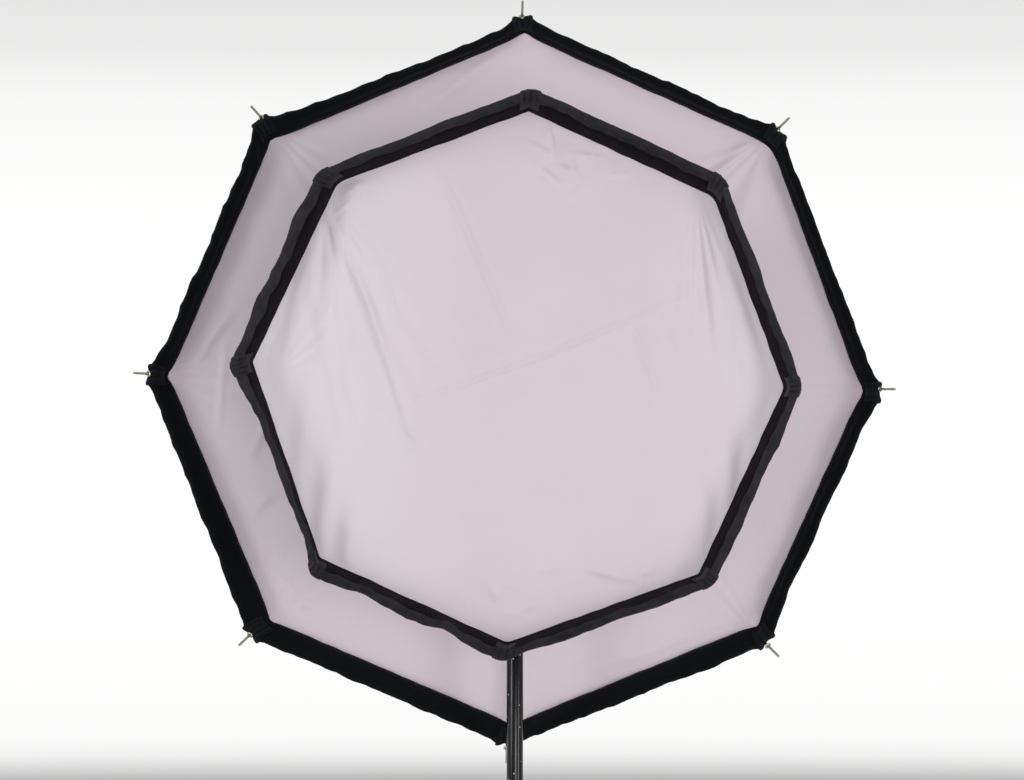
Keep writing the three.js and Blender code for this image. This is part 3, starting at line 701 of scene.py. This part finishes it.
def make_rim(name, rim, node, slot, materials, painted_shade_strips):
    side, share = stations(54)
    points = rim.points(side, share)
    # The strips inside the lip take the second material, painted darker as shade.
    strips = (np.arange(len(rim.section)) < painted_shade_strips).astype(int)
    uv = cloth_uv(points, len(rim.section) // 2)
    piece = grid_mesh(name, points, True, True, materials, uv, strips)
    return settle(face_out(piece), rim.box, slot, node)


def make_patches(name, rim, slot, material, first, last, half):
    """The doubled cloth folded over each corner of a rim."""
    made = []
    for corner in range(CORNERS):
        side, share = across_corner(corner, half, 33, rim.section[:, 0].max())
        whole = rim.points(side, share)
        points = whole[:, first:last]
        lift = 0.0016 * np.ones(points.shape[:2])
        lift[[0, -1]] = 0.0009
        lift[:, [0, -1]] = 0.0009
        points = points + rim.outward(whole)[:, first:last] * lift[..., None]
        uv = cloth_uv(points, points.shape[1] // 2, False, False)
        made.append(thicken(grid_mesh(f"{name}_{corner}", points, False, False, (material,), uv), 0.001))
    return settle(merge(name, made), rim.box, slot)


make_rim("front_rim_cloth", FRONT_RIM, "front_lip", "rim_fabric", (FINISH["rim_fabric"], RIM_PAINTED_SHADE), 24)
make_rim("rear_rim_cloth", REAR_RIM, "rear_lip", "black_fabric", (FINISH["black_fabric"],), 0)
make_patches("front_corner_patches", FRONT_RIM, "rim_fabric", PATCH_CLOTH, 14, 50, 0.019)
make_patches("rear_corner_patches", REAR_RIM, "black_fabric", BLACK_PATCH, 18, 48, 0.02)


# ---- Eyelets -----------------------------------------------------------------------------------------

EYELET_RADIUS = 0.6735  # how far the eyelets are from the axis
EYELET_Y = 0.0741
EYELET_SECTION = MM * np.array([
    (2.9, -1.6), (2.9, 0.9), (3.4, 1.6), (4.4, 1.8), (5.6, 1.2), (6.3, 0.2), (6.1, -0.3), (5.2, 0.3),
    (4.2, 0.6), (3.8, -0.4), (3.6, -1.6),
])


def turned(name, section, centre, axis, around, material):
    """A closed section turned about an axis through centre."""
    axis = Vector(axis).normalized()
    across = axis.orthogonal().normalized()
    other = axis.cross(across)
    angles = np.linspace(0, 2 * np.pi, around, endpoint=False)
    ring = np.outer(np.cos(angles), across) + np.outer(np.sin(angles), other)
    radius, along = section[None, :, :1], section[None, :, 1:]
    points = np.array(centre) + ring[:, None, :] * radius + np.array(axis) * along
    uv = cloth_uv(points, 0)
    return face_out(grid_mesh(name, points, True, True, (material,), uv))


def make_eyelets():
    """A metal eyelet round each of the large box's rod tips."""
    made = []
    for corner in range(CORNERS):
        out = REAR.direction(corner)
        centre = (out[0] * EYELET_RADIUS, EYELET_Y, AXIS_Z + out[1] * EYELET_RADIUS)
        made.append(turned(f"eyelet_{corner}", EYELET_SECTION, centre, (out[0], -1, out[1]), 28, EYELET))
    settle(merge("rim_eyelets", made), REAR, "rod_steel")


make_eyelets()


# ---- Sheets ------------------------------------------------------------------------------------------

def octagon_grid(box, radius, count):
    """(x, z) offsets from the axis on a square grid of points bent to fill the octagon."""
    u, v = np.meshgrid(np.linspace(-1, 1, count + 1), np.linspace(-1, 1, count + 1), indexing="ij")
    size = np.maximum(np.abs(u), np.abs(v))
    safe = np.where(size == 0, 1, size)
    a, b = u / safe, v / safe
    # The place round the square's edge, in half sides clockwise from the middle of the top.
    place = np.where(b >= 1, a, np.where(a >= 1, 2 - b, np.where(b <= -1, 4 - a, 6 + b))) % 8
    side = np.floor(place).astype(int) % 8
    share = place - np.floor(place)
    white = (radius / box.rim[0]) ** 2
    edge = on_ring(box, side.ravel(), share.ravel()[:, None], np.array([radius]), 0.0, white=white)[:, 0]
    x, z = edge[:, 0].reshape(size.shape), (edge[:, 2] - AXIS_Z).reshape(size.shape)
    return x * size, z * size, size


SMALL_CREASES = (  # points (x, z) from the axis in metres, height and width in mm
    ([(-0.25, -0.07), (0.04, 0.03), (0.33, 0.15)], 2.3, 5),
    ([(-0.145, 0.37), (-0.103, 0.29), (-0.046, 0.158), (0.001, 0.043)], 4.3, 6),
    ([(-0.335, 0.29), (-0.254, 0.119), (-0.221, 0.016), (-0.185, -0.1)], 5.9, 7),
    ([(-0.3, 0.27), (-0.27, 0.17), (-0.24, 0.06), (-0.23, -0.02)], 3.2, 9),
    ([(-0.254, 0.228), (-0.226, 0.158), (-0.2, 0.06)], 3, 6),
    ([(-0.36, 0.2), (-0.33, 0.05), (-0.3, -0.12)], 3.5, 11),
    ([(-0.31, 0.1), (-0.29, -0.03), (-0.27, -0.09)], 2.4, 6),
    ([(0.2, 0.092), (0.233, 0.005), (0.252, -0.05)], 3.5, 6),
    ([(0.24, 0.12), (0.275, 0.03), (0.29, -0.03)], 1.6, 9),
    ([(0.355, 0.2), (0.37, 0.05), (0.4, -0.08)], 4, 12),
    ([(-0.197, -0.08), (-0.164, -0.126)], 2.4, 6),
    ([(-0.05, -0.353), (-0.032, -0.391)], 2.4, 7),
    ([(0.115, -0.334), (0.191, -0.353)], 2.7, 6),
    ([(-0.05, -0.08), (0.03, -0.02)], 1.4, 12),
)
SMALL_CRUMPLES = (  # centre, radius, height in mm, seed and count
    ((0.1, 0.37), 0.075, 1.9, 3, 16),
    ((-0.29, 0.33), 0.05, 1.8, 4, 8),
    ((-0.02, -0.37), 0.06, 1.4, 12, 7),
    ((0.2, -0.35), 0.05, 1.4, 13, 6),
)
SMALL_FANS = (  # apex, the point it opens towards, spread, folds, reach, height in mm and seed
    ((-0.335, 0.315), (-0.16, -0.2), 0.4, 5, 0.6, 2.6, 8),
    ((0.31, 0.33), (0.36, -0.1), 0.3, 4, 0.45, 2.6, 9),
    ((-0.42, 0.0), (0.0, 0.25), 0.6, 4, 0.26, 0.9, 10),
)
LARGE_CREASES = (
    ([(0.45, 0.46), (0.4, 0.41), (0.345, 0.355)], 6, 12),
    ([(0.47, 0.42), (0.43, 0.33), (0.4, 0.25)], 4, 12),
    ([(-0.17, 0.5), (-0.1, 0.555), (-0.02, 0.62)], 5, 12),
    ([(-0.59, 0.03), (-0.56, 0.08), (-0.52, 0.13)], 4, 8),
    ([(-0.535, 0.07), (-0.548, -0.09)], 3, 6),
    ([(-0.49, -0.144), (-0.44, -0.042)], 4, 9),
    ([(-0.485, -0.245), (-0.44, -0.204)], 3, 6),
    ([(-0.44, -0.35), (-0.39, -0.41), (-0.35, -0.42)], 3, 8),
    ([(0.1, -0.53), (0.25, -0.5), (0.4, -0.43)], 4, 14),
)
CORNER_FOLDS = (0.3, 2.0, 0.4, 0.9, 0.4, 0.9, 0.9, 0.8)  # heights at the large sheet's corners, in mm


def creased(x, z, creases):
    """The sum of several creases."""
    return sum(crease(x, z, points, height * MM, width * MM) for points, height, width in creases)


def edge_folds(x, middle, width, height, length, slant):
    """Upright folds along one side of the small sheet, within a width of a line at x = middle."""
    return height * np.sin(2 * np.pi * (x + slant) / length) * np.exp(-(((x - middle) / width) ** 2))


def small_sheet_relief(x, z):
    """Folds and creases of the small box's diffuser: how far the cloth stands forward."""
    h = hills(x, z, 5, 0.55, 0.005) + hills(x, z, 6, 0.2, 0.001)
    h += creased(x, z, SMALL_CREASES)
    for centre, radius, height, seed, count in SMALL_CRUMPLES:
        h += crumple(x, z, centre, radius, height * MM, seed, count)
    uneven = 0.55 + 0.45 * np.sin(23 * x + 5 * z) * np.sin(15 * z - 6 * x + 1)
    for apex, toward, spread, folds, reach, height, seed in SMALL_FANS:
        h += uneven * fan(x, z, apex, toward, spread, folds, reach, height * MM, seed)
    below = np.clip((0.3 - z) / 0.1, 0, 1)
    h += uneven * below * edge_folds(x, 0.36, 0.06, 4.2 * MM, 0.065, 0.15 * z)
    h += uneven * edge_folds(x, -0.34, 0.06, 3.6 * MM, 0.06, -0.2 * z)
    return h


def large_sheet_relief(x, z):
    """Folds and creases of the large box's diffuser."""
    h = hills(x, z, 15, 0.6, 0.006) + hills(x, z, 16, 0.22, 0.0015)
    h += creased(x, z, LARGE_CREASES)
    for corner, height in enumerate(CORNER_FOLDS):
        out = REAR.direction(corner)
        h += fan(x, z, out * 0.66, out * 0.3, 0.45, 3.5, 0.26, height * MM, 30 + corner)
    return h


def thin_sheet(name, points, box, node):
    """A diffuser's sheet from a grid of points."""
    piece = grid_mesh(name, points, False, False, (FINISH["white_fabric"],))
    return settle(thicken(piece, CLOTH), box, "white_fabric", node)


SMALL_SHEET = 0.467  # centre to corner
SMALL_SHEET_Y = -0.345


def make_small_diffuser():
    x, z, size = octagon_grid(FRONT, SMALL_SHEET, 260)
    edge = smooth((1 - size) / 0.06)
    y = SMALL_SHEET_Y - small_sheet_relief(x, z) * edge
    points = np.stack([x, y, AXIS_Z + z], axis=-1)
    piece = thin_sheet("small_diffuser_cloth", points, FRONT, "front_diffuser")


def make_baffle():
    low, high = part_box("front_baffle")
    radius = (high[2] - low[2]) / 2 - 0.004
    middle = (low[1] + high[1]) / 2
    x, z, size = octagon_grid(FRONT, radius, 90)
    h = (hills(x, z, 41, 0.3, 0.006) + hills(x, z, 42, 0.1, 0.0012)) * smooth((1 - size) / 0.1)
    points = np.stack([x, middle - h, AXIS_Z + z], axis=-1)
    piece = thin_sheet("inner_baffle_cloth", points, FRONT, "front_baffle")


LARGE_SHEET = 0.6415  # centre to corner
LARGE_SHEET_Y = 0.117
OPENING = 0.09  # radius of the large sheet's opening
RUFFLES = 46  # gathers round the opening


def make_large_diffuser():
    """The ring-shaped diffuser, from an elastic opening round the small box's neck out to the hem."""
    side, share = stations(88)
    grow = np.linspace(0, 1, 112) ** 0.8
    edge = on_ring(REAR, side, share, np.array([LARGE_SHEET]), 0.0, white=1.0)[:, 0]
    ex, ez = edge[:, 0], edge[:, 2] - AXIS_Z
    angle = np.arctan2(ez, ex)
    x = OPENING * np.cos(angle)[:, None] * (1 - grow) + ex[:, None] * grow
    z = OPENING * np.sin(angle)[:, None] * (1 - grow) + ez[:, None] * grow
    ruffle = 0.0022 * np.sin(RUFFLES * angle)[:, None] * np.exp(-grow * 14)
    h = large_sheet_relief(x, z) * smooth((1 - grow) / 0.05) * smooth(grow / 0.08) + ruffle
    h += rod_pockets(x, z)
    points = np.stack([x, LARGE_SHEET_Y - h, AXIS_Z + z], axis=-1)
    piece = grid_mesh("large_diffuser_cloth", points, True, False, (LIT_LARGE_SHEET_CLOTH,))
    settle(thicken(piece, CLOTH), REAR, "white_fabric", "rear_diffuser")
    hem = make_opening_hem(angle)


def rod_pockets(x, z):
    """How far the sheet's corners are drawn forward, over the rods' ends."""
    h = np.zeros_like(x)
    for corner in range(CORNERS):
        tip = REAR.direction(corner) * LARGE_SHEET + REAR.room_shift[corner] + REAR.corner_shift[corner]
        h += 0.018 * np.exp(-(((x - tip[0]) ** 2 + (z - tip[1]) ** 2) / 0.03 ** 2))
    return h


def make_opening_hem(angle):
    """The gathered elastic hem round the opening."""
    turn = np.linspace(0, 2 * np.pi, 14, endpoint=False)
    puff = 0.0036 + 0.0007 * np.sin(RUFFLES * angle)
    r = OPENING + puff[:, None] * np.cos(turn)
    y = LARGE_SHEET_Y - 0.0022 * np.sin(RUFFLES * angle)[:, None] + puff[:, None] * np.sin(turn)
    points = np.stack([r * np.cos(angle)[:, None], y, AXIS_Z + r * np.sin(angle)[:, None]], axis=-1)
    hem = face_out(grid_mesh("opening_hem", points, True, True, (FINISH["white_fabric"],)))
    return settle(hem, REAR, "white_fabric")


make_small_diffuser()
make_baffle()
make_large_diffuser()


# ---- Shells ------------------------------------------------------------------------------------------

def shell_inward(rim, side, share, t, last, sag, seed):
    """How far the cloth of a shell sags between its rods, with gathers at the neck and the rim."""
    t = t[None, :]
    across = np.sin(np.pi * share)[:, None]
    s = (side + share) * rim.length
    broad = sag * across ** 1.3 * np.sin(np.pi * np.clip(t / last, 0, 1)) ** 0.8
    neck = 0.0011 * np.sin(share * 2 * np.pi * 5)[:, None] * np.exp(-((t / 0.1) ** 2)) * across
    edge = waves(s, seed, (0.06, 0.028), (1.0, 0.6))[:, None] * 0.0022 * np.exp(-(((last - t) / 0.12) ** 2))
    slow = waves(s, seed + 1, (0.3, 0.14), (1, 0.6))[:, None] * 0.003 * np.sin(np.pi * t / last) * across
    pull = rim.sag(side, share)[:, None] * 0.3 * smooth((t - 0.8 * last) / (0.2 * last))
    return broad + neck + edge * across ** 0.5 + slow + pull


def panel_uv(side, share, box, at, rings):
    """Each panel's own cloth positions, so that the weave runs straight down its middle."""
    ends = np.stack([share, np.append(share[1:], 1.0)], axis=1)
    ends[:, 1] = np.where(ends[:, 1] < ends[:, 0], 1.0, ends[:, 1])
    length = 2 * at[:, 0] * math.sin(TURN / 2)
    u = (ends[:, :, None] - 0.5) * length[None, None, :] + side[:, None, None] * 0.7
    return np.stack(np.broadcast_arrays(u, rings[None, None, :]), axis=-1)


def make_shell(name, rim, node, last_y, sag, seed, rings):
    box = rim.box
    last = box.where(last_y)
    side, share = stations(26)
    t = np.linspace(0.004, last, rings)
    at, _ = box.wall(t)
    inward = shell_inward(rim, side, share, t, last, sag, seed)
    room = smooth((t - 0.8 * last) / (0.2 * last))
    points = on_ring(box, side, share, at[:, 0], at[:, 1], 0.006, inward, 0.0, room)
    uv = panel_uv(side, share, box, at, distances(at, False))
    piece = face_out(grid_mesh(name, points, True, False, (SHELL_CLOTH, SILVER_LINING), uv))
    thicken(piece, 0.001, 0.0, 1)
    return settle(piece, box, "black_fabric", node)


def off_wall(box, t, away):
    """Places at a distance outside the wall's line."""
    at, along = box.wall(t)
    out = np.stack([-along[:, 1], along[:, 0]], axis=1)
    return at + away * np.sign(out[:, :1]) * out


def make_tapes(name, box, last_y, half, rings):
    """Bound seams down the shell's corners."""
    made = []
    t = np.linspace(0.03, box.where(last_y), rings)
    placed = off_wall(box, t, 1.6 * MM)
    room = smooth((t - 0.8 * t[-1]) / (0.2 * t[-1]))
    for corner in range(CORNERS):
        points = tape_points(box, corner, placed, half, room)
        uv = cloth_uv(points, 0, False, False)
        uv = np.stack(np.broadcast_arrays(distances(points[0], False)[None, None, :], uv[..., 0]), axis=-1)
        made.append(thicken(grid_mesh(f"{name}_{corner}", points, False, False, (TAPE,), uv), 0.0009))
    return settle(merge(name, made), box, "black_fabric")


def tape_points(box, corner, placed, half, room):
    """A strip of even width across a corner, all the way down it."""
    d = np.linspace(-half, half, 13)
    side = np.where(d < 0, (corner - 1) % CORNERS, corner)
    length = 2 * placed[:, 0] * math.sin(TURN / 2)
    share = d[:, None] / length[None, :]
    share = np.where(d[:, None] < 0, 1 + share, share)
    return on_ring(box, side, share, placed[:, 0], placed[:, 1], 0.006, room=room)


def make_collar(name, box, first, last, material):
    """A band of hook tape round a shell's neck."""
    t = np.linspace(first, last, 10)
    loop = np.vstack([off_wall(box, t, 1.2 * MM), off_wall(box, t, 3.4 * MM)[::-1]])
    side, share = stations(20)
    points = on_ring(box, side, share, loop[:, 0], loop[:, 1], 0.006)
    uv = cloth_uv(points, 5)
    return settle(face_out(grid_mesh(name, points, True, True, (material,), uv)), box, "black_fabric")


make_shell("small_shell_cloth", FRONT_RIM, "front_shell", -0.3445, 0.006, 61, 90)
make_shell("large_shell_cloth", REAR_RIM, "rear_shell", 0.115, 0.011, 71, 130)
make_tapes("small_shell_seams", FRONT, -0.342, 0.0095, 110)
make_tapes("large_shell_seams", REAR, 0.118, 0.011, 160)
make_collar("small_neck_collar", FRONT, 0.02, 0.09, HOOK_TAPE)
make_collar("large_neck_collar", REAR, 0.03, 0.075, HOOK_TAPE)


# ---- Floor, light and finish -------------------------------------------------------------------------

def make_floor():
    angles = np.linspace(0, 2 * np.pi, 96, endpoint=False)
    form = bmesh.new()
    rim = [form.verts.new((3.2 * math.cos(a), 3.2 * math.sin(a), -0.0005)) for a in angles]
    form.faces.new(rim)
    mesh = bpy.data.meshes.new("floor")
    form.to_mesh(mesh)
    form.free()
    s = Shade("floor_paper", (0.8, 0.8, 0.79), 0.75)
    at = s.coords()
    shade = s.mix(s.noise(at, 2.5, 3), (0.77, 0.77, 0.76), (0.84, 0.84, 0.83))
    s.use(shade, None, s.bump(s.noise(at, 180, 2), 0.1, 0.0004))
    link("floor", mesh, (s.material,))


BACKDROP = (  # height of the direction looked in, and the backdrop's level there
    (-0.0767, 0.49), (-0.0745, 0.66), (-0.072, 0.795), (-0.0706, 0.875), (-0.0668, 0.955), (-0.0565, 0.98),
    (-0.005, 1.05), (0.047, 1.05), (0.099, 0.935), (0.1122, 0.83), (0.1247, 0.8), (0.16, 0.74),
)
BACKDROP_REACH = 0.2  # the heights that the curve covers, up and down
BACKDROP_TOP = 1.25  # the level at the top of the curve
FRONT_LEVEL = 0.5  # the level all over the half in front


def make_world():
    """A lit white backdrop, darker at its top and where it meets the floor, and soft light from in front."""
    world = bpy.data.worlds.new("studio")
    bpy.context.scene.world = world
    world.use_nodes = True
    tree = world.node_tree
    make, join = tree.nodes.new, tree.links.new
    split = make("ShaderNodeSeparateXYZ")
    join(make("ShaderNodeTexCoord").outputs["Generated"], split.inputs[0])
    curve = make("ShaderNodeFloatCurve")
    spread = make("ShaderNodeMapRange")
    spread.inputs["From Min"].default_value = -BACKDROP_REACH
    spread.inputs["From Max"].default_value = BACKDROP_REACH
    join(split.outputs["Z"], spread.inputs["Value"])
    join(spread.outputs[0], curve.inputs["Value"])
    across = 2 * BACKDROP_REACH
    set_curve(curve, [((z + BACKDROP_REACH) / across, level / BACKDROP_TOP) for z, level in BACKDROP])
    front = make("ShaderNodeMapRange")
    front.inputs["From Min"].default_value = -0.35
    front.inputs["From Max"].default_value = 0.25
    join(split.outputs["Y"], front.inputs["Value"])
    scale = make("ShaderNodeMath")
    scale.operation = "MULTIPLY"
    scale.inputs[1].default_value = BACKDROP_TOP
    join(curve.outputs[0], scale.inputs[0])
    level = make("ShaderNodeMix")
    level.inputs[2].default_value = FRONT_LEVEL
    join(front.outputs[0], level.inputs[0])
    join(scale.outputs[0], level.inputs[3])
    join(level.outputs[0], tree.nodes["Background"].inputs["Strength"])
    tree.nodes["Background"].inputs["Color"].default_value = (1.0, 1.0, 0.995, 1)


def set_curve(node, points):
    """Sets a curve node to straight lines between the points."""
    line = node.mapping.curves[0]
    line.points[0].location = (0.0, points[0][1])
    line.points[1].location = (1.0, points[-1][1])
    for x, y in points:
        line.points.new(x, y)
    for point in line.points:
        point.handle_type = "VECTOR"
    node.mapping.update()


def area_light(name, place, aim, size, power, color):
    data = bpy.data.lights.new(name, "AREA")
    data.shape = "RECTANGLE"
    data.size, data.size_y = size
    data.energy = power
    data.color = color
    lamp = bpy.data.objects.new(name, data)
    bpy.context.scene.collection.objects.link(lamp)
    lamp.location = place
    lamp.rotation_euler = (Vector(aim) - Vector(place)).to_track_quat("-Z", "Y").to_euler()


make_floor()
make_world()
area_light("left", (-5.0, -3.4, 1.7), (0, 0, 1.4), (1.4, 2.0), 84, (0.95, 0.98, 1.0))
area_light("right", (4.6, -4.2, 0.7), (0, 0, 1.3), (1.6, 2.4), 76, (1.0, 0.97, 0.95))
area_light("front", (1.0, -8.2, 0.8), (0, 0, 1.4), (2.6, 2.0), 132, (1.0, 0.99, 0.99))
bpy.context.scene.view_settings.view_transform = "Standard"
